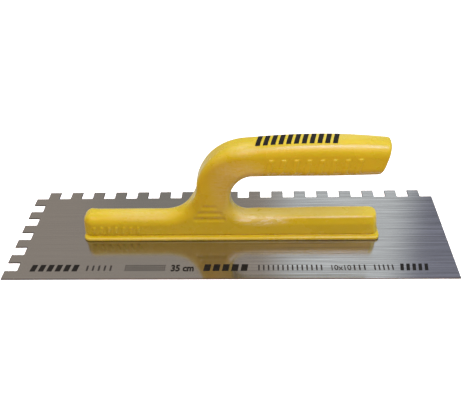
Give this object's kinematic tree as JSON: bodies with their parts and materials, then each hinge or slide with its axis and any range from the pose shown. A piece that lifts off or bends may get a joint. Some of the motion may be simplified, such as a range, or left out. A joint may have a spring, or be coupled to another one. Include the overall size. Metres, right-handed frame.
{
  "type": "notched trowel",
  "caption": "Tiling trowel: thin rectangular steel blade, square teeth along one long and one short edge, with an open C-shaped moulded handle on a long foot.",
  "frame": {"origin": "centre of the blade's flat working face, which is also the bottom centre of the whole tool's box", "axes": "+X along the blade towards the grip's free end, +Y towards the long row of teeth, +Z from the working face up to the grip"},
  "size_m": [0.35, 0.12, 0.0888],
  "materials": {
    "blade_steel": "fine brushing along the blade, half reflective",
    "handle_plastic": "golden yellow moulded plastic, semi-gloss with a light dusty haze",
    "plated_steel": "zinc plated"
  },
  "bodies": {
    "root": {"blade": "blade_steel", "handle": "handle_plastic", "grip_end_plug": "handle_plastic", "mounting_strip": "plated_steel", "strip_rivet_1": "plated_steel", "strip_rivet_2": "plated_steel", "strip_rivet_3": "plated_steel", "strip_rivet_4": "plated_steel", "strip_rivet_5": "plated_steel", "strip_rivet_6": "plated_steel", "handle_screw_1": "plated_steel", "handle_screw_2": "plated_steel", "handle_screw_3": "plated_steel", "handle_screw_4": "plated_steel"}
  },
  "joints": []
}
